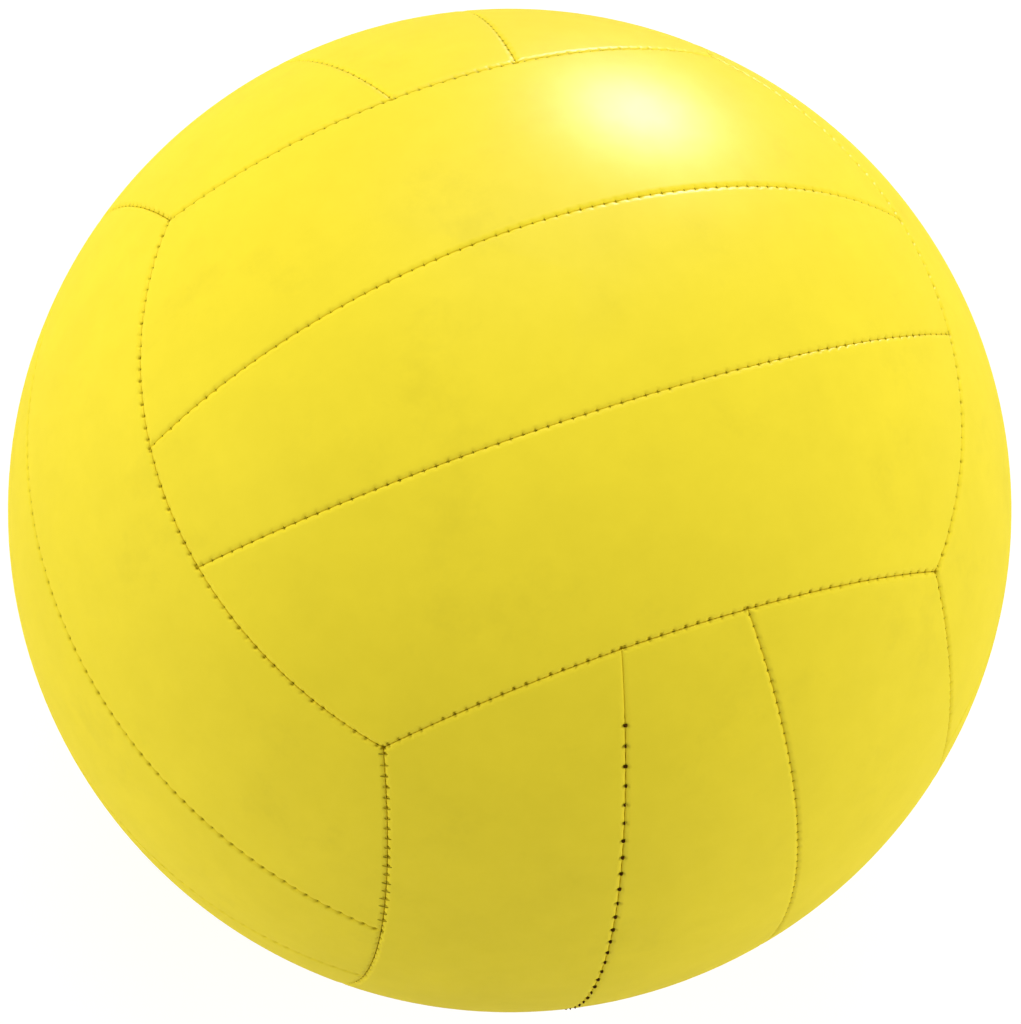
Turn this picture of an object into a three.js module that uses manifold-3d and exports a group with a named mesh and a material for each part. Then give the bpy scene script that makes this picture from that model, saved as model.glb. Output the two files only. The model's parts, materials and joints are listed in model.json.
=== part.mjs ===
// A sewn volleyball, in millimetres. The origin is the ball's centre, +Z is the middle of the top group
// of cover strips, and the valve faces +Y.
//
// The cover is six groups of three strips. Each group covers one face of a cube blown up to a ball, and
// the strips of neighbouring groups run at right angles. In a group's own axes X runs along its strips,
// Y across them and Z out of the ball. Every strip is rolled over at its edge and turned in, and the
// turned-in flanges of two strips lie side by side in the seam.
import * as THREE from 'three';
import { mergeVertices } from 'three/addons/utils/BufferGeometryUtils.js';
import Module from 'manifold-3d';

const wasm = await Module();
wasm.setup();

// Seam layout
const BALL_DIAMETER = 210;
const STRIP_SEAM_MID = 20.9;      // from a strip seam to the middle line of its group, halfway along
const STRIP_SEAM_END = 13.2;      // the same, level with the group's corners
const GROUP_EDGE_BOW = 2.7;       // how far a group's long edge swells out between its corners
const SEAM_GAP = 0.6;             // between the flanges of two strips

// Cover strips of synthetic leather
const COVER_THICKNESS = 0.9;
const SHOULDER_WIDTH = 1.6;       // the rolled-over edge, measured along the ball's surface
const SHOULDER_DROP = 1.1;        // how far the rolled-over edge goes down before it is turned in
const FLANGE_DEPTH = 4;           // from the ball's surface to the edge of the turned-in flange

// Foam and cloth backing glued inside each strip
const BACKING_THICKNESS = 1.6;

// Sewing thread in the seam grooves
const THREAD_DIAMETER = 0.5;
const LACE_DIAMETER = 0.6;        // the heavier thread of the seam that closes the ball

// Bladder
const BLADDER_WALL = 0.8;

// Valve: a housing moulded with a flange and a boss, and a soft core that the pump needle goes through
const VALVE_RECESS = 0.3;         // outer face of the valve below the ball's surface
const VALVE_FLANGE_DIAMETER = 34;
const VALVE_FLANGE_THICKNESS = 1.8;
const VALVE_FLANGE_RIM = 0.8;
const VALVE_NOSE_WALL = 1;
const VALVE_BOSS_WALL = 3.4;
const VALVE_BOSS_LENGTH = 12;
const CORE_DIAMETER = 4;
const CORE_HEAD_LIP = 0.7;
const CORE_HEAD_HEIGHT = 1.2;
const CORE_BULB_LIP = 0.6;
const CORE_BULB_LENGTH = 3.2;
const CORE_END_WALL = 5;          // rubber left below the needle channel
const NEEDLE_CHANNEL_DIAMETER = 1.8;

// Room left between pieces that touch on the real ball
const CLEARANCE = 0.3;

// Facets
const CELLS_ALONG_STRIP = 10;
const CELLS_ACROSS_OUTER_STRIP = 3;
const CELLS_ACROSS_MIDDLE_STRIP = 2;
const STEPS_ALONG_END_SEAM = 10;
const BLADDER_RINGS = 11;
const ROUND_SEGMENTS = 20;

const BALL_RADIUS = BALL_DIAMETER / 2;
const CORNER = BALL_RADIUS / Math.sqrt(3);
const ORIGIN = new THREE.Vector3();

// A material for each kind of piece
const material = (color, roughness) => new THREE.MeshStandardMaterial({ color, roughness, metalness: 0 });
const coverLeather = () => material('#f2dc3c', 0.45);
const backingCloth = () => material('#e6e1d2', 0.95);
const seamThread = () => material('#6f6420', 0.8);
const bladderRubber = () => material('#2b2b2d', 0.7);
const valveRubber = () => material('#e3c930', 0.6);
const coreRubber = () => material('#1c1c1d', 0.65);

const lerp = THREE.MathUtils.lerp;

// The larger root of a x^2 + 2 b x + c = 0
function largerRoot(a, b, c) {
  return (-b + Math.sqrt(b * b - a * c)) / a;
}

// Seams

// A seam is cut out of the ball by a plane: across = base + slope * height, in the axes of a group
function seamPlane(mid, end) {
  const midHeight = Math.sqrt(BALL_RADIUS ** 2 - mid ** 2);
  const slope = (mid - end) / (midHeight - CORNER);
  return { base: end - slope * CORNER, slope };
}

// The same cut moved by a distance along the ball's surface, towards larger values of across
function shifted(plane, distance) {
  const stretch = Math.hypot(1, plane.slope);
  const offCentre = plane.base / stretch;
  const lean = Math.sqrt(1 - (offCentre / BALL_RADIUS) ** 2);
  return { base: plane.base + distance * stretch * lean, slope: plane.slope };
}

const mirrored = (plane) => ({ base: -plane.base, slope: -plane.slope });

const STRIP_SEAM = seamPlane(STRIP_SEAM_MID, STRIP_SEAM_END);
const GROUP_EDGE = seamPlane(CORNER + GROUP_EDGE_BOW, CORNER);

// The three strips of a group, from the low side of Y to the high side
const STRIPS = {
  outer_a: { low: mirrored(GROUP_EDGE), high: mirrored(STRIP_SEAM), cellsAcross: CELLS_ACROSS_OUTER_STRIP },
  middle: { low: mirrored(STRIP_SEAM), high: STRIP_SEAM, cellsAcross: CELLS_ACROSS_MIDDLE_STRIP },
  outer_b: { low: STRIP_SEAM, high: GROUP_EDGE, cellsAcross: CELLS_ACROSS_OUTER_STRIP },
};

// The point at u, from -1 to 1, of a cut across the ball that runs from one end of a group to the other.
// The end is the long edge of the next group, moved in by inset.
function pointOnCut({ base, slope }, u, inset) {
  const end = shifted(GROUP_EDGE, inset);
  const baseAtEnd = base + slope * end.base;
  const slopeAtEnd = slope * end.slope;
  const endAlong = largerRoot(
    1 + slopeAtEnd ** 2 + end.slope ** 2,
    baseAtEnd * slopeAtEnd + end.base * end.slope,
    baseAtEnd ** 2 + end.base ** 2 - BALL_RADIUS ** 2,
  );
  const endAngle = Math.atan2(endAlong, end.base + end.slope * endAlong);
  const along = endAlong * Math.sin(u * endAngle) / Math.sin(endAngle);
  const height = largerRoot(1 + slope ** 2, base * slope, base ** 2 + along ** 2 - BALL_RADIUS ** 2);
  return new THREE.Vector3(along, base + slope * height, height);
}

// A point of a strip at u along it and v across it, both from -1 to 1, with the strip's outline moved
// in by inset, at a depth below the ball's surface
function pointOnStrip(strip, u, v, inset, depth) {
  const low = shifted(strip.low, inset);
  const high = shifted(strip.high, -inset);
  const share = (v + 1) / 2;
  const cut = { base: lerp(low.base, high.base, share), slope: lerp(low.slope, high.slope, share) };
  return pointOnCut(cut, u, inset).setLength(BALL_RADIUS - depth);
}

// Strips and backings

// A closed sheet in the form of a strip. The section is a list of [inset, depth] steps round the sheet's
// edge, from the outline of its outer face to the outline of its inner face.
function stripSheet(strip, section) {
  const positions = [];
  const triangles = [];
  const columns = CELLS_ALONG_STRIP;
  const rows = strip.cellsAcross;

  const addPoint = (column, row, [inset, depth]) => {
    const point = pointOnStrip(strip, 2 * column / columns - 1, 2 * row / rows - 1, inset, depth);
    positions.push(...point.toArray());
    return positions.length / 3 - 1;
  };

  const rim = [];
  for (let column = 0; column < columns; column++) rim.push([column, 0]);
  for (let row = 0; row < rows; row++) rim.push([columns, row]);
  for (let column = columns; column > 0; column--) rim.push([column, rows]);
  for (let row = rows; row > 0; row--) rim.push([0, row]);

  // A whole face of the sheet; its rim is returned
  const addFace = (step, outer) => {
    const grid = [];
    for (let column = 0; column <= columns; column++) {
      grid.push([]);
      for (let row = 0; row <= rows; row++) grid[column].push(addPoint(column, row, step));
    }
    for (let column = 0; column < columns; column++) {
      for (let row = 0; row < rows; row++) {
        const a = grid[column][row];
        const b = grid[column + 1][row];
        const c = grid[column + 1][row + 1];
        const d = grid[column][row + 1];
        triangles.push(...(outer ? [a, b, c, a, c, d] : [a, c, b, a, d, c]));
      }
    }
    return rim.map(([column, row]) => grid[column][row]);
  };

  const loops = section.map((step, index) => {
    if (index === 0) return addFace(step, true);
    if (index === section.length - 1) return addFace(step, false);
    return rim.map(([column, row]) => addPoint(column, row, step));
  });
  for (let index = 1; index < loops.length; index++) {
    const upper = loops[index - 1];
    const lower = loops[index];
    for (let at = 0; at < rim.length; at++) {
      const next = (at + 1) % rim.length;
      triangles.push(upper[at], lower[at], lower[next], upper[at], lower[next], upper[next]);
    }
  }
  return geometryFrom(positions, triangles);
}

function geometryFrom(positions, triangles) {
  const geometry = new THREE.BufferGeometry();
  geometry.setAttribute('position', new THREE.Float32BufferAttribute(positions, 3));
  geometry.setIndex(triangles);
  geometry.computeVertexNormals();
  return geometry;
}

// Halfway round the rolled-over edge, as a share of its width and of its drop
const SHOULDER_HALFWAY = 1 - Math.SQRT1_2;
const SEAM_SIDE = SEAM_GAP / 2;
const FLANGE_INSIDE = SEAM_SIDE + COVER_THICKNESS;
const CROWN_EDGE = SEAM_SIDE + Math.max(SHOULDER_WIDTH, COVER_THICKNESS + CLEARANCE);
const BACKING_TOP = COVER_THICKNESS + CLEARANCE;

// Crown, rolled-over edge, outside and inside of the turned-in flange, underside
const COVER_SECTION = [
  [CROWN_EDGE, 0],
  [lerp(SEAM_SIDE, CROWN_EDGE, SHOULDER_HALFWAY), SHOULDER_DROP * SHOULDER_HALFWAY],
  [SEAM_SIDE, SHOULDER_DROP],
  [SEAM_SIDE, FLANGE_DEPTH],
  [FLANGE_INSIDE, FLANGE_DEPTH],
  [FLANGE_INSIDE, Math.max(SHOULDER_DROP, COVER_THICKNESS)],
  [CROWN_EDGE, COVER_THICKNESS],
];

// The backing fills the underside of the crown
const BACKING_SECTION = [
  [CROWN_EDGE, BACKING_TOP],
  [CROWN_EDGE, BACKING_TOP + BACKING_THICKNESS],
];

// Solids to join and cut

function solidFrom(geometry) {
  const bare = geometry.clone();
  bare.deleteAttribute('normal');
  if (bare.hasAttribute('uv')) bare.deleteAttribute('uv');
  const merged = mergeVertices(bare);
  return new wasm.Manifold(new wasm.Mesh({
    numProp: 3,
    vertProperties: merged.getAttribute('position').array,
    triVerts: Uint32Array.from(merged.getIndex().array),
  }));
}

function geometryOf(solid) {
  const mesh = solid.getMesh();
  return geometryFrom(Array.from(mesh.vertProperties), Array.from(mesh.triVerts));
}

function revolved(profile) {
  const points = profile.map(([radius, height]) => new THREE.Vector2(radius, height));
  return geometryOf(solidFrom(new THREE.LatheGeometry(points, ROUND_SEGMENTS)));
}

// Thread

// Where the groove between two rolled-over edges is just wide enough for a thread and its clearance,
// below the ball's surface
function threadSeat(diameter) {
  const halfwayDrop = SHOULDER_DROP * SHOULDER_HALFWAY;
  const halfwayWidth = (CROWN_EDGE - SEAM_SIDE) * SHOULDER_HALFWAY;
  const spare = diameter / 2 + CLEARANCE - SEAM_SIDE;
  return SHOULDER_DROP - (SHOULDER_DROP - halfwayDrop) * spare / halfwayWidth;
}

// A thread along a line of points on the ball's surface, let down to its seat, with a diamond section
function threadAlong(surfacePoints, diameter) {
  const radius = diameter / 2;
  const depth = threadSeat(diameter) - radius;
  const line = surfacePoints.map((point) => point.clone().setLength(BALL_RADIUS - depth));
  const last = line.length - 1;
  const positions = [];
  line.forEach((point, index) => {
    const ahead = line[Math.min(index + 1, last)].clone().sub(line[Math.max(index - 1, 0)]).normalize();
    const out = point.clone().normalize();
    const side = ahead.clone().cross(out).normalize();
    for (const [offset, direction] of [[radius, side], [radius, out], [-radius, side], [-radius, out]]) {
      positions.push(...point.clone().addScaledVector(direction, offset).toArray());
    }
  });
  const triangles = [0, 1, 2, 0, 2, 3];
  for (let index = 0; index < last; index++) {
    for (let corner = 0; corner < 4; corner++) {
      const a = 4 * index + corner;
      const b = 4 * index + (corner + 1) % 4;
      triangles.push(a, a + 4, b, b, a + 4, b + 4);
    }
  }
  const end = 4 * last;
  triangles.push(end, end + 2, end + 1, end, end + 3, end + 2);
  return geometryFrom(positions, triangles);
}

// Points along a strip seam, from one end of its group to the other, stopping short of the end seams
function stripSeamLine(plane, endGap) {
  const line = [];
  for (let step = 0; step <= CELLS_ALONG_STRIP; step++) {
    line.push(pointOnCut(plane, 2 * step / CELLS_ALONG_STRIP - 1, endGap));
  }
  return line;
}

// Points along the seam across the strips' ends, on the side of X that the sign gives, with room left
// at the corners for the threads of the next groups
function endSeamLine(sign) {
  const cornerRoom = THREAD_DIAMETER + CLEARANCE;
  const reach = CORNER - cornerRoom;
  const { base, slope } = GROUP_EDGE;
  const line = [];
  for (let step = 0; step <= STEPS_ALONG_END_SEAM; step++) {
    const across = reach * (2 * step / STEPS_ALONG_END_SEAM - 1);
    const along = largerRoot(1 + slope ** 2, base * slope, base ** 2 + across ** 2 - BALL_RADIUS ** 2);
    line.push(new THREE.Vector3(sign * along, across, base + slope * along));
  }
  return line;
}

// The thread of a group: the seams across both ends of its strips, joined by its strip seams
function groupThread(stripSeams) {
  const lines = [endSeamLine(-1), endSeamLine(1), ...stripSeams.map((plane) => stripSeamLine(plane, 0))];
  const threads = lines.map((line) => solidFrom(threadAlong(line, THREAD_DIAMETER)));
  return geometryOf(threads.reduce((joined, thread) => joined.add(thread)));
}

// The lace stops clear of the threads across the strips' ends
function closingLace(plane) {
  const endGap = (THREAD_DIAMETER + LACE_DIAMETER) / 2 + CLEARANCE;
  return threadAlong(stripSeamLine(plane, endGap), LACE_DIAMETER);
}

// Bladder and valve, revolved about the valve's axis

const coreRadius = CORE_DIAMETER / 2;
const coreHeadRadius = coreRadius + CORE_HEAD_LIP;
const boreRadius = coreRadius + CLEARANCE;
const counterboreRadius = coreHeadRadius + CLEARANCE;
const noseRadius = counterboreRadius + VALVE_NOSE_WALL;
const valveHoleRadius = noseRadius + CLEARANCE;
const valveFlangeRadius = VALVE_FLANGE_DIAMETER / 2;
const valveTop = BALL_RADIUS - VALVE_RECESS;

// A point of a round profile of a given radius, at a distance from the axis on the valve's side
const onArc = (radius, distance) => [distance, Math.sqrt(radius ** 2 - distance ** 2)];

// The nearest that a set of pieces comes to the ball's centre
function innerReach(geometries) {
  let least = BALL_RADIUS;
  const triangle = new THREE.Triangle();
  const nearest = new THREE.Vector3();
  for (const geometry of geometries) {
    const index = geometry.getIndex();
    const positions = geometry.getAttribute('position');
    for (let at = 0; at < index.count; at += 3) {
      triangle.setFromAttributeAndIndices(positions, index.getX(at), index.getX(at + 1), index.getX(at + 2));
      least = Math.min(least, triangle.closestPointToPoint(ORIGIN, nearest).length());
    }
  }
  return least;
}

// One wall of the bladder, from the far pole to the valve hole. A step under the rim of the valve's
// flange lets the flange lie along the wall.
function bladderWall(radius) {
  const flangeAngle = Math.asin(valveFlangeRadius / radius);
  const points = [];
  for (let ring = 0; ring <= BLADDER_RINGS; ring++) {
    const angle = lerp(Math.PI, flangeAngle, ring / BLADDER_RINGS);
    const distance = ring === 0 ? 0 : radius * Math.sin(angle);
    points.push([distance, radius * Math.cos(angle)]);
  }
  return [...points, onArc(radius, valveHoleRadius)];
}

function bladder(radius) {
  return revolved([...bladderWall(radius), ...bladderWall(radius - BLADDER_WALL).reverse()]);
}

// Heights of the valve along its axis, worked out from the bladder that it is bonded into
function valveHeights(bladderRadius) {
  const flangeFace = bladderRadius - BLADDER_WALL - CLEARANCE;
  const root = onArc(flangeFace, noseRadius)[1];
  const rim = onArc(flangeFace, valveFlangeRadius)[1];
  const underFlange = root - VALVE_FLANGE_THICKNESS;
  const bossEnd = underFlange - VALVE_BOSS_LENGTH;
  return { root, rim, underFlange, bossEnd };
}

function valveHousing({ root, rim, underFlange, bossEnd }) {
  const bossRadius = boreRadius + VALVE_BOSS_WALL;
  const seat = valveTop - CORE_HEAD_HEIGHT - CLEARANCE;
  const profile = [
    [boreRadius, bossEnd],
    [bossRadius, bossEnd],
    [bossRadius, underFlange],
    [valveFlangeRadius, rim - VALVE_FLANGE_RIM],
    [valveFlangeRadius, rim],
    [noseRadius, root],
    [noseRadius, valveTop],
    [counterboreRadius, valveTop],
    [counterboreRadius, seat],
    [boreRadius, seat],
  ];
  return revolved([...profile, profile[0]]);
}

// The core hangs by its head in the nose, and its bulb locks it behind the boss
function valveCore({ bossEnd }) {
  const bulbRadius = boreRadius + CORE_BULB_LIP;
  const bulbTop = bossEnd - CLEARANCE;
  const coreEnd = bulbTop - CORE_BULB_LENGTH;
  const channelRadius = NEEDLE_CHANNEL_DIAMETER / 2;
  const channelEnd = coreEnd + CORE_END_WALL;
  return revolved([
    [0, coreEnd],
    [coreRadius, coreEnd],
    [bulbRadius, (bulbTop + coreEnd) / 2],
    [bulbRadius, bulbTop],
    [coreRadius, bulbTop],
    [coreRadius, valveTop - CORE_HEAD_HEIGHT],
    [coreHeadRadius, valveTop - CORE_HEAD_HEIGHT],
    [coreHeadRadius, valveTop],
    [channelRadius, valveTop],
    [channelRadius, channelEnd],
    [0, channelEnd],
  ]);
}

// A strip or backing of the valve's group with the round hole for the valve's nose. The hole is cut in
// the group's own axes, where the valve points along Z.
function withValveHole(geometry) {
  const drill = new THREE.CylinderGeometry(valveHoleRadius, valveHoleRadius, BALL_RADIUS, ROUND_SEGMENTS);
  drill.rotateX(Math.PI / 2).translate(0, 0, BALL_RADIUS);
  return geometryOf(solidFrom(geometry).subtract(solidFrom(drill)));
}

// Assembly

const X = new THREE.Vector3(1, 0, 0);
const Y = new THREE.Vector3(0, 1, 0);
const Z = new THREE.Vector3(0, 0, 1);
const minus = (axis) => axis.clone().negate();

// The six groups, each with the directions of its strips' length, of their width and out of the ball
const GROUPS = {
  top: [X, Y, Z],
  bottom: [X, minus(Y), minus(Z)],
  right: [Y, Z, X],
  left: [Y, minus(Z), minus(X)],
  back: [Z, X, Y],
  front: [Z, minus(X), minus(Y)],
};
const VALVE_GROUP = 'back';
const LACED_GROUP = 'front';

const ball = new THREE.Group();

function addPiece(parent, name, geometry, finish) {
  const mesh = new THREE.Mesh(geometry, finish);
  mesh.name = name;
  parent.add(mesh);
}

const coverSheets = {};
const backingSheets = {};
for (const [name, strip] of Object.entries(STRIPS)) {
  coverSheets[name] = stripSheet(strip, COVER_SECTION);
  backingSheets[name] = stripSheet(strip, BACKING_SECTION);
}
const sewnThread = groupThread([STRIP_SEAM, mirrored(STRIP_SEAM)]);
const openThread = groupThread([mirrored(STRIP_SEAM)]);

for (const [groupName, axes] of Object.entries(GROUPS)) {
  const group = new THREE.Group();
  group.quaternion.setFromRotationMatrix(new THREE.Matrix4().makeBasis(...axes));
  for (const stripName of Object.keys(STRIPS)) {
    const holdsValve = groupName === VALVE_GROUP && stripName === 'middle';
    const fit = holdsValve ? withValveHole : (geometry) => geometry;
    addPiece(group, `cover_${groupName}_${stripName}`, fit(coverSheets[stripName]), coverLeather());
    addPiece(group, `backing_${groupName}_${stripName}`, fit(backingSheets[stripName]), backingCloth());
  }
  const laced = groupName === LACED_GROUP;
  addPiece(group, `thread_${groupName}`, laced ? openThread : sewnThread, seamThread());
  if (laced) addPiece(group, 'closing_lace', closingLace(STRIP_SEAM), seamThread());
  ball.add(group);
}

const bladderRadius = innerReach([...Object.values(coverSheets), ...Object.values(backingSheets)]) - CLEARANCE;
const heights = valveHeights(bladderRadius);
addPiece(ball, 'bladder', bladder(bladderRadius), bladderRubber());
addPiece(ball, 'valve_housing', valveHousing(heights), valveRubber());
addPiece(ball, 'valve_core', valveCore(heights), coreRubber());

export default ball;
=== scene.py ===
import json
import math
import random
from typing import NamedTuple

import bpy
from bpy.props import FloatProperty, FloatVectorProperty, IntProperty, PointerProperty
from bpy.types import Operator, Panel, PropertyGroup
from mathutils import Matrix, Vector
from mathutils.geometry import intersect_line_sphere, intersect_plane_plane
from mathutils.kdtree import KDTree

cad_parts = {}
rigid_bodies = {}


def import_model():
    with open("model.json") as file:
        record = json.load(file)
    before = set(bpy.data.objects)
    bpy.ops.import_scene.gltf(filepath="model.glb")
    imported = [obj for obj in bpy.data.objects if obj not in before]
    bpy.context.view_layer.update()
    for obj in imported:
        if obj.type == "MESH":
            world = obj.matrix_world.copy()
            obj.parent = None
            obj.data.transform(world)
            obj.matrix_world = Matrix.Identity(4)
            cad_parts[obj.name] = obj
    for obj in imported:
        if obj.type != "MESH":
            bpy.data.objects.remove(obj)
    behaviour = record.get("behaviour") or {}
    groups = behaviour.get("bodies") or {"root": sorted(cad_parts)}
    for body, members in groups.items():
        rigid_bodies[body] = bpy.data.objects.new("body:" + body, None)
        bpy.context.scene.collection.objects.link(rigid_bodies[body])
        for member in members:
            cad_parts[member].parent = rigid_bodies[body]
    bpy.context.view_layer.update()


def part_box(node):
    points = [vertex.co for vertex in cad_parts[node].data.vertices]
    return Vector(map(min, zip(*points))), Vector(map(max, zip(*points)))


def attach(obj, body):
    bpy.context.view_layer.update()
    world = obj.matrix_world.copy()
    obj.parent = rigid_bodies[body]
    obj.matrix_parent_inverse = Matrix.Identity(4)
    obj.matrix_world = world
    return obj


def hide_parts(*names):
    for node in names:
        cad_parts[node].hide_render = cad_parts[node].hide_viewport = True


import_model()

bl_info = {
    "name": "Sewn volleyball",
    "version": (1, 0, 0),
    "blender": (4, 5, 0),
    "location": "View3D > Sidebar > Volleyball",
    "description": "Builds a sewn volleyball of eighteen strips, piece by piece",
    "category": "Add Mesh",
}

# The frame's own sizes, in metres
BALL_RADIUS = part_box("cover_top_middle")[1].z
BLADDER_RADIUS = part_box("bladder")[1].x
VALVE_LOW, VALVE_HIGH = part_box("valve_housing")
CORE_LOW, CORE_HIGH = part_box("valve_core")
# A group's corner lies as far along the group as across it and out of it
GROUP_CORNER = BALL_RADIUS / math.sqrt(3)

MM = 0.001
# How near a point lies to a plane that holds it, and how near two points are that are one
ON_PLANE = 0.001 * MM
ONE_POINT = 0.01 * MM
ORIGIN = Vector((0, 0, 0))
X = Vector((1, 0, 0))
Y = Vector((0, 1, 0))
Z = Vector((0, 0, 1))

# Each group's directions along its strips, across them and out of the ball. A strip is modelled in the
# top group's place and copied to the others.
GROUPS = {
    "top": (X, Y, Z),
    "bottom": (X, -Y, -Z),
    "right": (Y, Z, X),
    "left": (Y, -Z, -X),
    "back": (Z, X, Y),
    "front": (Z, -X, -Y),
}
VALVE_GROUP = "back"
LACED_GROUP = "front"
HAND_SEWN_GROUP = "left"
TIGHT_GROUP = "left"

# Facets round the valve and its hole, round the bladder, from end to end of it and across a rounded edge
VALVE_SIDES = 64
BLADDER_SIDES = 96
BLADDER_RINGS = 64
EDGE_STEPS = 3
# Facets that meet at less than this are shaded as one surface
SMOOTH_ANGLE = math.radians(40)


def linear_colour(hex_code):
    """The linear colour of an sRGB hex code."""
    channels = [int(hex_code[at:at + 2], 16) / 255 for at in (1, 3, 5)]
    return [c / 12.92 if c <= 0.04045 else ((c + 0.055) / 1.055) ** 2.4 for c in channels]


def length(name, description, millimetres):
    """A length that a user can change, given in millimetres."""
    return FloatProperty(
        name=name, description=description, default=millimetres * MM, min=0, precision=5,
        subtype="DISTANCE", unit="LENGTH",
    )


def count(name, description, number):
    """A number of steps or stitches that a user can change."""
    return IntProperty(name=name, description=description, default=number, min=1)


def angle(name, description, degrees):
    """An angle that a user can change, given in degrees."""
    return FloatProperty(
        name=name, description=description, default=math.radians(degrees), subtype="ANGLE", unit="ROTATION",
    )


def colour(name, description, hex_code):
    """A colour that a user can change, given as an sRGB hex code."""
    return FloatVectorProperty(
        name=name, description=description, default=linear_colour(hex_code), min=0, max=1, size=3,
        subtype="COLOR",
    )


# Settings


class CoverSizes(PropertyGroup):
    """Sizes of the strips, of what lines them and of the seams between them."""
    strip_seam_mid: length("Strip seam midway", "From a strip seam to its group's middle, midway", 20.9)
    strip_seam_end: length("Strip seam at end", "The same, level with the group's corners", 13.2)
    group_edge_bow: length("Edge bow", "Swell of a group's long edge between its corners", 2.7)
    seam_gap: length("Seam gap", "Between the rolled edges of two strips, at a stitch", 0.02)
    gape: length("Gape", "How far an edge stands back between two stitches", 0.08)
    roll: length("Rolled edge", "Width of a strip's rolled edge", 1.1)
    roll_drop: length("Roll drop", "How far the rolled edge drops before it turns in", 0.4)
    guard: length("Guard", "Width of the even border inside the rolled edge", 0.6)
    thickness: length("Leather", "Thickness of the synthetic leather", 0.9)
    flange: length("Flange", "From the surface to the edge of the turned-in flange", 4.0)
    backing: length("Backing", "Thickness of the foam and cloth backing", 1.6)
    backing_top: length("Backing depth", "From the surface to the backing's outer face", 1.2)
    backing_margin: length("Backing margin", "From a seam to the backing's edge", 1.9)
    cell: length("Cell", "Size of a sheet's cells", 2.8)
    guard_steps: count("Guard steps", "Facets across the even border", 3)
    roll_steps: count("Roll steps", "Facets round the rolled edge", 4)
    rim_steps: count("Rim steps", "Edges of the rim to each cell", 10)


class SewingSizes(PropertyGroup):
    """Sizes of the stitches and of their needle holes."""
    pitch: length("Stitch pitch", "From one stitch of a seam to the next", 2.6)
    thread: length("Thread", "Diameter of the sewing thread", 0.2)
    sink: length("Stitch sink", "Depth of a stitch below the surface", 0.45)
    hand_sink: length("Hand stitch sink", "The same, for a stitch that is sewn by hand", 0.05)
    hand_reach: length("Hand stitch reach", "Reach of such a stitch to each side of its seam", 0.9)
    hand_stitches: count("Hand stitches", "Stitches sewn by hand, from the front's corner", 19)
    strand: length("Strand sink", "Depth of the thread between stitches", 1.4)
    edge_hole: length("Edge holes", "From a group's long edge to the needle holes along it", 0.15)
    end_hole: length("End holes", "From a strip's end to the needle holes along it", 0.1)
    seam_hole: length("Seam holes", "From a strip seam to the needle holes along it", 0.12)
    hole_spread: length("Hole spread", "Radius of a needle hole's funnel", 0.43)
    hole_depth: length("Hole depth", "Depth of a needle hole", 0.65)
    lace_pitch: length("Lace pitch", "From one stitch of the closing seam to the next", 4.6)
    lace: length("Lace", "Diameter of the closing seam's thread", 0.72)
    lace_hole: length("Lace holes", "From the closing seam to its needle holes", 0.32)
    lace_sink: length("Lace sink", "Depth of a closing stitch", 0.3)
    lace_start: length("Lace start", "From the closing seam's ends to its first stitches", 14)


class ValveSizes(PropertyGroup):
    """Sizes of the valve that the frame doesn't give."""
    hole: length("Valve hole", "Radius of the hole in the cover", 4.3)
    nose: length("Nose", "Radius of the housing's nose", 4.0)
    counterbore: length("Counterbore", "Radius of the recess for the core's head", 3.0)
    bore: length("Bore", "Radius of the housing's bore", 2.3)
    boss: length("Boss", "Radius of the boss inside the ball", 5.7)
    edge: length("Moulded edge", "Radius of the moulded edges", 0.25)
    flange: length("Valve flange", "Thickness of the flange at its root", 1.8)
    flange_rim: length("Flange rim", "Thickness of the flange at its rim", 0.8)
    head: length("Core head", "Height of the core's head", 1.2)
    stem: length("Core stem", "Radius of the core below its head", 2.0)
    channel: length("Needle channel", "Radius of the channel for the pump needle", 0.9)
    channel_end: length("Channel end", "Rubber left below the needle channel", 5.0)
    wall: length("Bladder wall", "Thickness of the bladder's wall", 0.8)
    gap: length("Gap", "Room between pieces that touch", 0.3)


class Colours(PropertyGroup):
    """Colours of the ball's materials."""
    leather: colour("Leather", "Synthetic leather of the cover", "#EFDA2F")
    hole: colour("Needle holes", "Shadowed inside of the needle holes", "#A8920A")
    thread: colour("Thread", "Sewing thread", "#A08C10")
    lace: colour("Lace", "Waxed thread of the closing seam", "#452A02")
    backing: colour("Backing", "Cloth of the backing", "#E6E1D2")
    bladder: colour("Bladder", "Rubber of the bladder", "#2B2B2D")
    valve: colour("Valve", "Rubber of the valve housing", "#DCC22C")
    core: colour("Core", "Rubber of the valve core", "#1C1C1D")
    floor: colour("Floor", "Floor of the studio", "#F4F4F2")


class CameraSetting(PropertyGroup):
    """Where the camera stands and how it is framed."""
    azimuth: angle("Azimuth", "Turn of the camera round the ball, from the front", -40.11)
    elevation: angle("Elevation", "Height of the camera above the horizon", 65.75)
    roll: angle("Roll", "Turn of the camera about its own axis", 20.2)
    distance: length("Distance", "From the camera to the ball's centre", 1660)
    lens: FloatProperty(
        name="Lens", description="Focal length on a sensor 36 mm high", default=278.4, unit="CAMERA",
    )
    shift: FloatVectorProperty(
        name="Shift", description="Shift of the lens, as a share of the image's height", size=2,
        default=(0.0008, -0.0015),
    )


class BallSettings(PropertyGroup):
    """All settings of the ball."""
    cover: PointerProperty(type=CoverSizes)
    sewing: PointerProperty(type=SewingSizes)
    valve: PointerProperty(type=ValveSizes)
    colours: PointerProperty(type=Colours)
    camera: PointerProperty(type=CameraSetting)


# Seams


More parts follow.
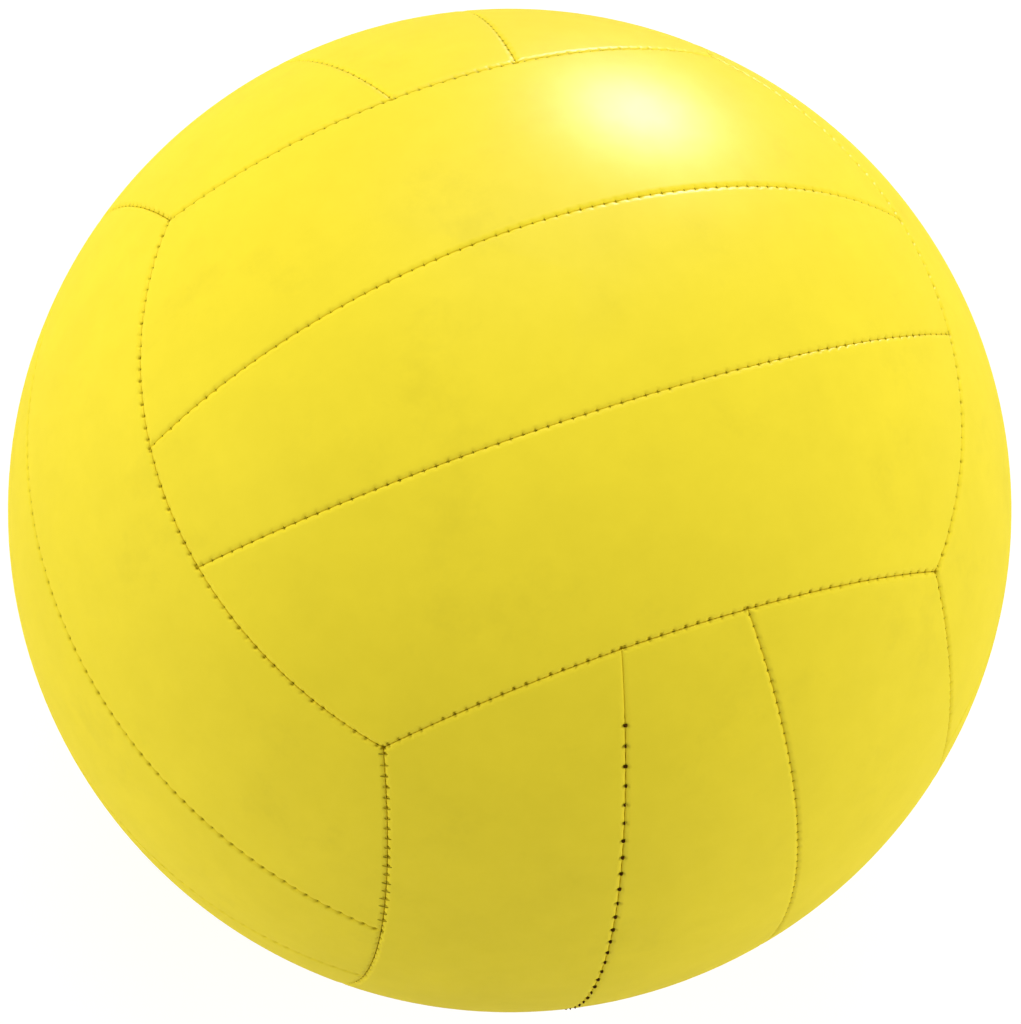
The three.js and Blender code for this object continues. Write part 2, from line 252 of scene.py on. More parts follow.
class Seam(NamedTuple):
    """A circle that a plane cuts out of the ball: the plane's normal and its distance from the centre."""
    normal: Vector
    offset: float

    @property
    def centre(self):
        return self.normal * self.offset

    def holds(self, point):
        """Whether a point lies in the seam's plane."""
        return abs(self.normal.dot(point) - self.offset) < ON_PLANE

    def moved(self, distance):
        """The seam moved by a distance along the ball's surface, the way that its normal points."""
        lean = math.asin(self.offset / BALL_RADIUS) + distance / BALL_RADIUS
        return Seam(self.normal, BALL_RADIUS * math.sin(lean))

    def turn(self, start, end):
        """The angle about the seam's axis from one of its points to another."""
        first = start - self.centre
        last = end - self.centre
        return math.atan2(self.normal.dot(first.cross(last)), first.dot(last))

    def point(self, start, turn):
        """The point that lies a turn further along the seam than start."""
        return Matrix.Rotation(turn, 3, self.normal) @ (start - self.centre) + self.centre

    def sideways(self, point):
        """The direction across the seam, along the ball's surface, at one of its points."""
        out = point.normalized()
        return (self.normal - out * self.normal.dot(out)).normalized()


def meeting_point(seam, other):
    """The point of the group's side of the ball where two seams cross."""
    point, direction = intersect_plane_plane(seam.centre, seam.normal, other.centre, other.normal)
    ends = intersect_line_sphere(point, point + direction, ORIGIN, BALL_RADIUS, False)
    return max(ends, key=lambda end: end.z)


class Row(NamedTuple):
    """A seam from end to end with the number of its stitches."""
    seam: Seam
    start: Vector
    end: Vector
    stitches: int

    @property
    def step(self):
        """The turn about the seam's axis from one stitch to the next."""
        return self.seam.turn(self.start, self.end) / self.stitches

    def points(self):
        """The places of the stitches, half a pitch in from the ends."""
        return [self.seam.point(self.start, (at + 0.5) * self.step) for at in range(self.stitches)]

    def passed(self, point):
        """How many pitches a point lies from the start."""
        return self.seam.turn(self.start, point) / self.step

    def part(self, first, last):
        """The row from one of its stitches to another."""
        start = self.seam.point(self.start, first * self.step)
        end = self.seam.point(self.start, last * self.step)
        return Row(self.seam, start, end, last - first)


class SeamPlan:
    """The seams of the top group: two long edges, two strip seams and the seams across the strips' ends."""

    def __init__(self, cover, sewing):
        self.sewing = sewing
        self.high_edge = self.cut(GROUP_CORNER + cover.group_edge_bow, GROUP_CORNER)
        self.low_edge = self.cut(-GROUP_CORNER - cover.group_edge_bow, -GROUP_CORNER)
        self.high_seam = self.cut(cover.strip_seam_mid, cover.strip_seam_end)
        self.low_seam = self.cut(-cover.strip_seam_mid, -cover.strip_seam_end)
        # The next group's long edge: its width is this group's height, and its height this group's length
        _, upright, lean = self.high_edge.normal
        self.far_end = Seam(Vector((lean, 0, upright)), self.high_edge.offset)
        self.near_end = Seam(Vector((-lean, 0, upright)), self.high_edge.offset)

    @staticmethod
    def cut(mid, end):
        """The seam that lies mid from the group's middle halfway along, and end from it at the corners."""
        mid_height = math.sqrt(BALL_RADIUS ** 2 - mid ** 2)
        slope = (mid - end) / (mid_height - GROUP_CORNER)
        stretch = math.hypot(1, slope)
        return Seam(Vector((0, 1, -slope)) / stretch, (end - slope * GROUP_CORNER) / stretch)

    def row(self, seam, first, last, pitch):
        """The stitches of a seam between two others that it meets."""
        start = meeting_point(seam, first)
        end = meeting_point(seam, last)
        run = (start - seam.centre).length * abs(seam.turn(start, end))
        return Row(seam, start, end, round(run / pitch))

    def along(self, seam):
        """The stitches of a seam that runs along the group."""
        return self.row(seam, self.near_end, self.far_end, self.sewing.pitch)

    def across(self, seam):
        """The stitches of a seam across the strips' ends."""
        return self.row(seam, self.low_edge, self.high_edge, self.sewing.pitch)

    def lacing(self):
        """The closing stitches along the high seam, which leave its ends free."""
        pitch = self.sewing.lace_pitch
        row = self.row(self.high_seam, self.near_end, self.far_end, pitch)
        free = round(self.sewing.lace_start / pitch)
        return row.part(free, row.stitches - free)

    def knots(self):
        """The places on the high edge where other seams end: its corners and the next group's strips."""
        ends = [meeting_point(seam, self.far_end) for seam in (self.low_seam, self.high_seam)]
        corners = [meeting_point(self.high_edge, seam) for seam in (self.near_end, self.far_end)]
        return [Vector((end.y, end.z, end.x)) for end in ends] + corners


class Side(NamedTuple):
    """One side of a strip: its row of stitches, the side of the seam that the strip is on, how far from the
    seam its needle holes are, how hard they are drawn in and how much of the full gape is between them."""
    row: Row
    inward: int
    hole: float
    pull: float
    slack: float


# How hard the needle holes are drawn in, and so how much painted shade they get: along a group's long
# edge, along a strip seam, along one of the tight group, across a strip's end, and where seams meet
EDGE_PULL = 1.0
SEAM_PULL = 0.58
TIGHT_PULL = 1.1
END_PULL = 0.7
KNOT_PULL = 1.3
# The least and the most of its row's pull that a hole gets
PULL_SPREAD = (0.6, 1.15)
# How much of the full gape there is between the stitches of a seam, and of a strip seam
FULL_SLACK = 1
SEAM_SLACK = 0.15


class Place(NamedTuple):
    """What tells a strip from the others: outer or middle, beside the closing seam, in the group that is
    drawn tight, round the valve."""
    kind: str
    laced: bool
    tight: bool
    valved: bool


def strip_sides(plan, place):
    """The four sides of a strip in order round it. The outer strip is the one on the high side."""
    sewing = plan.sewing
    far = Side(plan.across(plan.far_end), 1, sewing.end_hole, END_PULL, FULL_SLACK)
    near = far._replace(row=plan.across(plan.near_end))
    pull = TIGHT_PULL if place.tight else SEAM_PULL
    seam = Side(plan.along(plan.high_seam), -1, sewing.seam_hole, pull, SEAM_SLACK)
    if place.laced:
        seam = Side(plan.lacing(), -1, sewing.lace_hole, pull, FULL_SLACK)
    if place.kind == "middle":
        other_seam = Side(plan.along(plan.low_seam), 1, sewing.seam_hole, pull, SEAM_SLACK)
        return [other_seam, far, seam, near]
    edge = Side(plan.along(plan.high_edge), -1, sewing.edge_hole, EDGE_PULL, FULL_SLACK)
    return [seam._replace(inward=1), far, edge, near]


# Modelling by hand


def select_only(piece):
    """Makes a piece the one that operators work on."""
    bpy.ops.object.select_all(action="DESELECT")
    piece.select_set(True)
    bpy.context.view_layer.objects.active = piece


def select_none(kind):
    """Leaves nothing selected in edit mode, ready for vertices or for edges."""
    bpy.ops.mesh.select_mode(type=kind)
    bpy.ops.mesh.select_all(action="DESELECT")


def choose(piece, kind, test):
    """Selects the vertices or edges of a piece that pass a test, in edit mode."""
    select_none(kind)
    bpy.ops.object.mode_set(mode="OBJECT")
    for element in piece.data.edges if kind == "EDGE" else piece.data.vertices:
        element.select = test(element)
    bpy.ops.object.mode_set(mode="EDIT")


def new_piece(name):
    """An empty piece at the origin, in edit mode."""
    bpy.ops.object.add(type="MESH", enter_editmode=True)
    bpy.context.object.name = name
    bpy.ops.mesh.select_mode(type="VERT")
    return bpy.context.object


def add_vertex(point):
    """Adds a vertex to the piece in edit mode: a small plane drawn together to a point."""
    select_none("VERT")
    bpy.ops.mesh.primitive_plane_add(size=MM, location=point)
    bpy.ops.mesh.merge(type="CENTER")


def spin_along(seam, turn, steps, copies=False):
    """Spins what is selected along a seam. With no window the operator turns the other way."""
    bpy.ops.mesh.spin(steps=steps, angle=-turn, center=seam.centre, axis=seam.normal, dupli=copies)


def scale_to_centre(factor):
    """Scales what is selected towards the ball's centre."""
    bpy.ops.transform.resize(value=(factor, factor, factor), center_override=ORIGIN)


def select_open_edges(loose=False):
    """Selects the open rim of the piece in edit mode and, where asked, its loose loops."""
    select_none("EDGE")
    bpy.ops.mesh.select_non_manifold(
        use_wire=loose, use_boundary=True, use_multi_face=False, use_non_contiguous=False, use_verts=False,
    )


def face_out():
    """Turns all faces of the piece in edit mode out."""
    bpy.ops.mesh.select_all(action="SELECT")
    bpy.ops.mesh.normals_make_consistent(inside=False)


def apply_modifier(piece, kind, **settings):
    """Adds a modifier with its settings and applies it."""
    modifier = piece.modifiers.new(kind.lower(), kind)
    for key, value in settings.items():
        setattr(modifier, key, value)
    bpy.context.view_layer.objects.active = piece
    bpy.ops.object.modifier_apply(modifier=modifier.name)


def smooth(piece):
    """Shades a piece smooth, apart from its sharp edges."""
    select_only(piece)
    bpy.ops.object.shade_smooth_by_angle(angle=SMOOTH_ANGLE)


def finish_piece(piece, material, node):
    """Gives a piece its material and its place in the frame."""
    piece.data.materials.clear()
    piece.data.materials.append(material)
    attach(piece, "root")
    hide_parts(node)


def copy_to_group(model, name, group, half_turn=False):
    """A copy of a model of the top group, with a mesh of its own, turned to its place in a group."""
    copy = model.copy()
    copy.data = model.data.copy()
    copy.name = name
    bpy.context.collection.objects.link(copy)
    placed = Matrix(GROUPS[group]).transposed().to_4x4()
    if half_turn:
        placed = placed @ Matrix.Rotation(math.pi, 4, "Z")
    copy.matrix_world = placed
    select_only(copy)
    bpy.ops.object.transform_apply(location=False, rotation=True, scale=False)
    return copy


# Strips


def draw_outline(sides, margin, cells):
    """Draws the outline inside four seams, a margin away from them: a vertex spun along each in turn.
    Cells are the steps along the strip and across its ends. Returns the circles of the outline."""
    rims = [side.row.seam.moved(side.inward * margin) for side in sides]
    corners = [meeting_point(rims[at - 1], rims[at]) for at in range(4)]
    add_vertex(corners[0])
    for at, rim in enumerate(rims):
        spin_along(rim, rim.turn(corners[at], corners[(at + 1) % 4]), cells[at % 2])
    bpy.ops.mesh.select_linked()
    bpy.ops.mesh.remove_doubles(threshold=ONE_POINT)
    return rims


def count_cells(sides, cell):
    """How many cells of a given size fit along a strip and across its end."""
    corners = [meeting_point(sides[at - 1].row.seam, sides[at].row.seam) for at in range(3)]
    return [round((end - start).length / cell) for start, end in zip(corners, corners[1:])]


def model_sheet(name, sides, margin, cells):
    """A sheet on the ball's surface inside four seams, left in edit mode: its outline filled with a grid
    that is then cast onto the ball."""
    piece = new_piece(name)
    long_rims = draw_outline(sides, margin, cells)[::2]

    def on_long_rim(edge):
        ends = [piece.data.vertices[at].co for at in edge.vertices]
        return any(all(rim.holds(end) for end in ends) for rim in long_rims)

    choose(piece, "EDGE", on_long_rim)
    bpy.ops.mesh.fill_grid()
    bpy.ops.mesh.select_all(action="SELECT")
    bpy.ops.mesh.flip_normals()
    bpy.ops.object.mode_set(mode="OBJECT")
    apply_modifier(piece, "CAST", cast_type="SPHERE", factor=1, size=BALL_RADIUS, use_radius_as_size=False)
    bpy.ops.object.mode_set(mode="EDIT")
    return piece


def model_crown(name, sides, cover):
    """The sheet of a strip with its edge rolled over and turned in: outlines are let down round a quarter
    ellipse, then straight into the seam, and each is bridged to the one before. The rim is then made finer
    along the seams."""
    cells = count_cells(sides, cover.cell)
    half_gap = cover.seam_gap / 2
    border = half_gap + cover.roll + cover.guard
    piece = model_sheet(name, sides, border, cells)
    guards = [cover.guard * (1 - at / cover.guard_steps) for at in range(1, cover.guard_steps)]
    bends = [math.pi / 2 * at / cover.roll_steps for at in range(cover.roll_steps + 1)]
    section = [(cover.roll + guard, 0) for guard in guards]
    for bend in bends:
        section.append((cover.roll * (1 - math.sin(bend)), cover.roll_drop * (1 - math.cos(bend))))
    section.append((0, cover.flange))
    for inset, drop in section:
        draw_outline(sides, half_gap + inset, cells)
        scale_to_centre(1 - drop / BALL_RADIUS)
        select_open_edges(loose=True)
        bpy.ops.mesh.bridge_edge_loops()
    face_out()
    # A little more than the border, so that rounding leaves out none of its edges
    rim_reach = 1.1 * border

    def along_seam(edge):
        start, end = [piece.data.vertices[at].co for at in edge.vertices]
        return any(
            abs(seam.normal.dot(end - start)) < ON_PLANE
            and abs(seam.normal.dot(start.normalized()) * BALL_RADIUS - seam.offset) < rim_reach
            for seam in (side.row.seam for side in sides)
        )

    choose(piece, "EDGE", along_seam)
    bpy.ops.mesh.subdivide(number_cuts=cover.rim_steps - 1)
    bpy.ops.object.mode_set(mode="OBJECT")
    return piece


# A smaller share of a depth isn't drawn in
LEAST_SHARE = 0.01


def draw_in(piece, shares, depth):
    """Moves a piece's surface inwards by each vertex's share of a depth."""
    weights = piece.vertex_groups.new(name="drawn_in")
    for at, share in enumerate(shares):
        if share > LEAST_SHARE:
            weights.add([at], min(share, 1), "REPLACE")
    apply_modifier(
        piece, "DISPLACE", strength=-depth, mid_level=0, vertex_group=weights.name, direction="NORMAL",
    )
    piece.vertex_groups.clear()


def open_between_stitches(piece, sides, cover):
    """Lets the edges stand back between the stitches, which hold them together."""

    def share(place):
        most = 0
        for side in sides:
            seam = side.row.seam
            lean = math.asin(seam.normal.dot(place.normalized())) - math.asin(seam.offset / BALL_RADIUS)
            near = 1 - side.inward * lean * BALL_RADIUS / cover.roll
            passed = side.row.passed(place)
            if 0 < passed < side.row.stitches:
                wave = 0.5 + 0.5 * math.cos(2 * math.pi * passed)
                most = max(most, side.slack * near * wave ** 2)
        return most

    draw_in(piece, [share(vertex.co) for vertex in piece.data.vertices], cover.gape)


def prick_needle_holes(piece, sides, sewing, knots):
    """Draws the leather in at each needle hole, some deeper than others, and keeps how far in an attribute
    for the material, which paints shade into the holes from it. Knots are the places on the strip's edge
    where the seams of the next group end."""
    chance = random.Random(len(knots))
    holes = []
    for side in sides:
        for point in side.row.points():
            across = side.row.seam.sideways(point) * side.inward
            holes.append((point + across * side.hole, side.pull * chance.uniform(*PULL_SPREAD)))
    _, _, edge, _ = sides
    for knot in knots:
        across = edge.row.seam.sideways(knot) * edge.inward
        holes.append((knot + across * sewing.seam_hole, KNOT_PULL))
    tree = KDTree(len(holes))
    for at, (point, _) in enumerate(holes):
        tree.insert(point, at)
    tree.balance()
    depths = []
    for vertex in piece.data.vertices:
        _, at, distance = tree.find(vertex.co)
        depths.append(holes[at][1] * math.exp(-(distance / sewing.hole_spread) ** 2))
    piece.data.attributes.new("needle_hole", "FLOAT", "POINT").data.foreach_set("value", depths)
    draw_in(piece, depths, sewing.hole_depth)


def cut_valve_hole(piece, valve, top):
    """Cuts the round hole for the valve's nose and rounds its rim, which lies at the top of the piece."""
    bpy.ops.mesh.primitive_cylinder_add(
        vertices=VALVE_SIDES, radius=valve.hole, depth=BALL_RADIUS / 4, location=(0, 0, BALL_RADIUS),
    )
    drill = bpy.context.object
    apply_modifier(piece, "BOOLEAN", object=drill, operation="DIFFERENCE", solver="EXACT")
    bpy.data.objects.remove(drill)

    def on_rim(edge):
        ends = [piece.data.vertices[at].co for at in edge.vertices]
        return all(end.xy.length < valve.hole + ONE_POINT and end.z > top - valve.edge for end in ends)

    bpy.ops.object.mode_set(mode="EDIT")
    choose(piece, "EDGE", on_rim)
    bpy.ops.mesh.bevel(offset=valve.edge, segments=EDGE_STEPS)
    bpy.ops.object.mode_set(mode="OBJECT")


def model_strip(plan, place, settings):
    """A cover strip in the top group's place."""
    sides = strip_sides(plan, place)
    piece = model_crown("strip_model", sides, settings.cover)
    open_between_stitches(piece, sides, settings.cover)
    prick_needle_holes(piece, sides, settings.sewing, plan.knots() if place.kind == "outer" else [])
    apply_modifier(piece, "SOLIDIFY", thickness=settings.cover.thickness, offset=-1)
    if place.valved:
        cut_valve_hole(piece, settings.valve, BALL_RADIUS)
    smooth(piece)
    return piece


def model_backing(plan, place, settings):
    """The backing of a strip in the top group's place."""
    cover = settings.cover
    sides = strip_sides(plan, place)
    piece = model_sheet("backing_model", sides, cover.backing_margin, count_cells(sides, cover.cell))
    scale_to_centre(1 - cover.backing_top / BALL_RADIUS)
    bpy.ops.object.mode_set(mode="OBJECT")
    apply_modifier(piece, "SOLIDIFY", thickness=cover.backing, offset=-1)
    if place.valved:
        cut_valve_hole(piece, settings.valve, BALL_RADIUS - cover.backing_top)
    smooth(piece)
    return piece


def lay_strips(context, make_model, make_material, piece_prefix, node_prefix):
    """Models a strip or its backing for each sort of place on the ball and lays one in every place."""
    settings = context.scene.volleyball
    plan = SeamPlan(settings.cover, settings.sewing)
    material = make_material(settings.colours)
    models = {}
    for group in GROUPS:
        for strip in ("outer_a", "middle", "outer_b"):
            place = Place(
                kind=strip.split("_")[0],
                laced=group == LACED_GROUP and strip != "outer_a",
                tight=group == TIGHT_GROUP,
                valved=group == VALVE_GROUP and strip == "middle",
            )
            if place not in models:
                models[place] = make_model(plan, place, settings)
            name = f"{piece_prefix}_{group}_{strip}"
            piece = copy_to_group(models[place], name, group, half_turn=strip == "outer_a")
            finish_piece(piece, material, f"{node_prefix}_{group}_{strip}")
    for model in models.values():
        bpy.data.objects.remove(model)


# Stitches


class Stitch(NamedTuple):
    """A stitch: its reach to each side of its seam, its thread's diameter and facets, and its depth."""
    low: float
    high: float
    thread: float
    sides: int
    sink: float


THREAD_SIDES = 6
LACE_SIDES = 8
# Half the width of the stitches that stay inside a strip seam
SEAM_REACH = 0.35 * MM
# How stitches sewn by hand differ in their reach and in their shift to one side, as shares of the reach
HAND_SPREAD = (0.6, 1.5)
HAND_SHIFT = 0.25
# Places along a stitch, as a share of its reach, and above its middle, in thread diameters
STITCH_PATH = ((0, -1.4), (0.1, 0), (0.33, 0.25), (0.67, 0.25), (0.9, 0), (1, -1.4))


def thread_end(place, along, out, stitch):
    """Adds the end of a stitch's thread that leads along a direction, ready to be drawn on."""
    bpy.ops.mesh.select_all(action="DESELECT")
    facing = Matrix((out.cross(along), out, along)).transposed()
    bpy.ops.mesh.primitive_circle_add(
        vertices=stitch.sides, radius=stitch.thread / 2, fill_type="NGON", location=place,
        rotation=facing.to_euler(),
    )


def sew_stitch(row, point, stitch):
    """One stitch at a point of a seam: a thread drawn over the seam and down into both needle holes."""
    out = point.normalized()
    across = row.seam.sideways(point)
    places = [
        point + across * (stitch.low + share * (stitch.high - stitch.low))
        + out * (rise * stitch.thread - stitch.sink)
        for share, rise in STITCH_PATH
    ]
    thread_end(places[0], across, out, stitch)
    for place, next_place in zip(places, places[1:]):
        bpy.ops.mesh.extrude_region()
        bpy.ops.transform.translate(value=next_place - place)
    bpy.ops.mesh.select_linked()


def sew_by_hand(row, stitch):
    """The stitches of a seam, each a little different from the next."""
    chance = random.Random(row.stitches)
    for point in row.points():
        reach = stitch.high * chance.uniform(*HAND_SPREAD)
        shift = stitch.high * chance.uniform(-HAND_SHIFT, HAND_SHIFT)
        sew_stitch(row, point, stitch._replace(low=shift - reach, high=shift + reach))


def sew_by_machine(row, stitch):
    """The stitches of a seam, all alike."""
    start, *_, end = row.points()
    sew_stitch(row, start, stitch)
    spin_along(row.seam, row.seam.turn(start, end), row.stitches - 1, copies=True)


def lead_strand(row, stitch, sink):
    """The strand that joins the stitches of a seam in its depth."""
    start, *_, end = row.points()
    out = start.normalized()
    thread_end(start - out * sink, row.seam.sideways(start).cross(out), out, stitch)
    spin_along(row.seam, row.seam.turn(start, end), row.stitches - 1)


def lay_thread(rows, strand, name, group, material, node):
    """Sews rows of stitches, each with its strand at a depth, and lays them in their group's place."""
    model = new_piece("thread_model")
    for row, sew, stitch in rows:
        sew(row, stitch)
        lead_strand(row, stitch, strand)
    face_out()
    bpy.ops.object.mode_set(mode="OBJECT")
    smooth(model)
    finish_piece(copy_to_group(model, name, group), material, node)
    bpy.data.objects.remove(model)


# Turned pieces


def turned(name, profile):
    """A piece turned about the valve's axis, from its radius and its place along the axis."""
    places = [Vector((radius, height, 0)) for radius, height in profile]
    piece = new_piece(name)
    add_vertex(places[0])
    for place, next_place in zip(places, places[1:]):
        bpy.ops.mesh.extrude_vertices_move(TRANSFORM_OT_translate={"value": next_place - place})
    bpy.ops.mesh.select_all(action="SELECT")
    bpy.ops.mesh.spin(steps=VALVE_SIDES, angle=2 * math.pi, center=ORIGIN, axis=Y)
    bpy.ops.mesh.select_all(action="SELECT")
    bpy.ops.mesh.remove_doubles(threshold=ONE_POINT)
    face_out()
    bpy.ops.object.mode_set(mode="OBJECT")
    smooth(piece)
    return piece


# Materials


def add_node(tree, kind, inputs, **settings):
    """Adds a node with its settings. An input is a value or the socket that it is linked to."""
    node = tree.nodes.new(kind)
    for key, value in settings.items():
        setattr(node, key, value)
    for key, value in inputs.items():
        if isinstance(value, bpy.types.NodeSocket):
            tree.links.new(value, node.inputs[key])
        else:
            node.inputs[key].default_value = value
    return node


def new_material(name):
    """An empty material, its nodes and the place on the piece that its patterns follow."""
    material = bpy.data.materials.new(name)
    material.use_nodes = True
    tree = material.node_tree
    tree.nodes.clear()
    place = add_node(tree, "ShaderNodeTexCoord", {}).outputs["Object"]
    return material, tree, place


def end_material(tree, inputs):
    """Ends a material with its shader."""
    shader = add_node(tree, "ShaderNodeBsdfPrincipled", inputs)
    add_node(tree, "ShaderNodeOutputMaterial", {"Surface": shader.outputs["BSDF"]})


def shade(base, factor):
    """A colour made lighter or darker, with its opacity."""
    return [channel * factor for channel in base] + [1]


def per_metre(millimetres):
    """The scale of a pattern whose cells have a real size."""
    return 1 / (millimetres * MM)


def pvc_leather(colours):
    """Soft PVC calendered on cloth, embossed with a fine grain: matt under a thin, uneven, satin finish,
    with a hardly visible pebble, a slight cloudiness of its colour, a few smudges from the floor, and
    painted shade in the dull funnels where the needle went through."""
    material, tree, place = new_material("pvc_leather")
    cloud = add_node(tree, "ShaderNodeTexNoise", {
        "Vector": place, "Scale": per_metre(16), "Detail": 5, "Roughness": 0.65,
    })
    smudge = add_node(tree, "ShaderNodeTexNoise", {
        "Vector": place, "Scale": per_metre(24), "Detail": 6, "Roughness": 0.7,
    })
    soil = add_node(tree, "ShaderNodeMapRange", {
        "Value": smudge.outputs["Fac"], "From Min": 0.56, "From Max": 0.76, "To Max": 0.16,
    })
    # How far each needle hole is drawn in also masks the painted shade inside the holes
    hole = add_node(tree, "ShaderNodeAttribute", {}, attribute_name="needle_hole")
    hole_shade = add_node(tree, "ShaderNodeMapRange", {
        "Value": hole.outputs["Fac"], "From Min": 0.25, "From Max": 0.8,
    })
    tint = shade(colours.leather, 0.93)
    layers = (
        (cloud.outputs["Fac"], shade(colours.leather, 1.07)),
        (soil.outputs["Result"], shade(colours.leather, 0.6)),
        # Painted shade in the needle holes: the darker hole colour laid over the leather
        (hole_shade.outputs["Result"], shade(colours.hole, 1)),
    )
    for share, layer in layers:
        mix = add_node(tree, "ShaderNodeMix", {"Factor": share, "A": tint, "B": layer}, data_type="RGBA")
        tint = mix.outputs["Result"]
    pebble = add_node(tree, "ShaderNodeTexNoise", {"Vector": place, "Scale": per_metre(0.7), "Detail": 1})
    bump = add_node(tree, "ShaderNodeBump", {
        "Height": pebble.outputs["Fac"], "Strength": 0.12, "Distance": 0.05 * MM,
    })
    patch = add_node(tree, "ShaderNodeTexNoise", {"Vector": place, "Scale": per_metre(4), "Detail": 2})
    finish = add_node(tree, "ShaderNodeMapRange", {
        "Value": patch.outputs["Fac"], "To Min": 0.12, "To Max": 0.16,
    })
    coat = add_node(tree, "ShaderNodeMapRange", {
        "Value": hole_shade.outputs["Result"], "To Min": finish.outputs["Result"], "To Max": 0,
    })
    end_material(tree, {
        "Base Color": tint, "Specular IOR Level": 0,
        "Coat Weight": coat.outputs["Result"], "Coat Roughness": 0.41, "Coat IOR": 1.9,
        "Normal": bump.outputs["Normal"], "Coat Normal": bump.outputs["Normal"],
    })
    return material


def waxed_thread(name, base):
    """Twisted polyester thread drawn through wax: dull, with the twist as fine slanting bands. The bands
    are drawn at 0.2 mm, coarser than the real twist, to show at all."""
    material, tree, place = new_material(name)
    twist = add_node(tree, "ShaderNodeTexWave", {
        "Vector": place, "Scale": per_metre(0.2) / 20, "Distortion": 2,
    }, bands_direction="DIAGONAL")
    tint = add_node(tree, "ShaderNodeMix", {
        "Factor": twist.outputs["Fac"], "A": shade(base, 0.7), "B": shade(base, 1.15),
    }, data_type="RGBA")
    bump = add_node(tree, "ShaderNodeBump", {
        "Height": twist.outputs["Fac"], "Strength": 0.5, "Distance": 0.03 * MM,
    })
    end_material(tree, {
        "Base Color": tint.outputs["Result"], "Roughness": 0.8, "Specular IOR Level": 0.05,
        "Normal": bump.outputs["Normal"],
    })
    return material


def woven_backing(colours):
    """Plain-woven cotton glued to foam: matt, off-white, with its threads crossing every 0.6 mm."""
    material, tree, place = new_material("woven_backing")
    weave = add_node(tree, "ShaderNodeTexChecker", {
        "Vector": place, "Scale": per_metre(0.6), "Color1": shade(colours.backing, 1),
        "Color2": shade(colours.backing, 0.82),
    })
    bump = add_node(tree, "ShaderNodeBump", {
        "Height": weave.outputs["Fac"], "Strength": 0.4, "Distance": 0.1 * MM,
    })
    end_material(tree, {
        "Base Color": weave.outputs["Color"], "Roughness": 0.95, "Normal": bump.outputs["Normal"],
    })
    return material


def moulded_rubber(name, base, roughness):
    """Rubber pressed in a mould: a fine even tooth, and paler patches of bloom."""
    material, tree, place = new_material(name)
    bloom = add_node(tree, "ShaderNodeTexNoise", {"Vector": place, "Scale": per_metre(6), "Detail": 4})
    tint = add_node(tree, "ShaderNodeMix", {
        "Factor": bloom.outputs["Fac"], "A": shade(base, 0.85), "B": shade(base, 1.15),
    }, data_type="RGBA")
    tooth = add_node(tree, "ShaderNodeTexNoise", {"Vector": place, "Scale": per_metre(0.3)})
    bump = add_node(tree, "ShaderNodeBump", {
        "Height": tooth.outputs["Fac"], "Strength": 0.15, "Distance": 0.05 * MM,
    })
    end_material(tree, {
        "Base Color": tint.outputs["Result"], "Roughness": roughness, "IOR": 1.52,
        "Normal": bump.outputs["Normal"],
    })
    return material


# Stage

# Each lamp's direction from the ball, its distance and size in metres and its power in watts. The large
# lamps light the ball and don't show as gloss on it. The small one gives the gloss and no other light.
LAMPS = {
    "top_lamp": ((0.08, 0.53, 0.84), 1.6, 1.2, 6.5),
    "back_lamp": ((0.19, 0.74, 0.64), 1.6, 1.2, 9),
    "left_lamp": ((-0.91, 0.27, 0.32), 1.6, 0.9, 10.5),
    "right_lamp": ((0.77, -0.45, 0.45), 1.6, 0.9, 12.3),
}
GLOSS_LAMP = ((0.61, 0.78, 0.155), 1.3, 0.25, 37)
# Level of the soft light from all sides
WORLD_LEVEL = 0.4

# The floor's width in metres, and how far and how brightly it turns to white where the camera looks
FLOOR_SIZE = 12
FLOOR_WHITE_SHARE = 0.75
FLOOR_WHITE_LEVEL = 1.15
# Height of the camera's sensor, in millimetres
SENSOR_HEIGHT = 36


def background_ray(tree):
    """One where the camera, a mirror or a glass looks, and nought for the light on the object."""
    path = add_node(tree, "ShaderNodeLightPath", {})
    seen = path.outputs["Is Camera Ray"]
    for kind in ("Is Glossy Ray", "Is Transmission Ray"):
        either = add_node(tree, "ShaderNodeMath", {0: seen, 1: path.outputs[kind]}, operation="MAXIMUM")
        seen = either.outputs[0]
    return seen


def lay_floor(colours):
    """A plain pale floor that the ball rests on, lit up towards white where the camera looks at it."""
    bpy.ops.mesh.primitive_plane_add(size=FLOOR_SIZE, location=(0, 0, -BALL_RADIUS))
    floor = bpy.context.object
    floor.name = "floor"
    material, tree, _ = new_material("studio_paper")
    paper = add_node(tree, "ShaderNodeBsdfDiffuse", {"Color": shade(colours.floor, 1)})
    white = add_node(tree, "ShaderNodeEmission", {"Color": (1, 1, 1, 1), "Strength": FLOOR_WHITE_LEVEL})
    share = add_node(tree, "ShaderNodeMath", {
        0: background_ray(tree), 1: FLOOR_WHITE_SHARE,
    }, operation="MULTIPLY")
    shown = add_node(tree, "ShaderNodeMixShader", {
        0: share.outputs[0], 1: paper.outputs[0], 2: white.outputs[0],
    })
    add_node(tree, "ShaderNodeOutputMaterial", {"Surface": shown.outputs[0]})
    floor.data.materials.append(material)


def light_world(scene):
    """An even white studio: soft light on the object, and white where it is seen."""
    world = bpy.data.worlds.new("studio")
    world.use_nodes = True
    tree = world.node_tree
    tree.nodes.clear()
    soft = add_node(tree, "ShaderNodeBackground", {"Color": (1, 1, 1, 1), "Strength": WORLD_LEVEL})
    white = add_node(tree, "ShaderNodeBackground", {"Color": (1, 1, 1, 1), "Strength": 1})
    shown = add_node(tree, "ShaderNodeMixShader", {
        0: background_ray(tree), 1: soft.outputs[0], 2: white.outputs[0],
    })
    add_node(tree, "ShaderNodeOutputWorld", {"Surface": shown.outputs[0]})
    scene.world = world


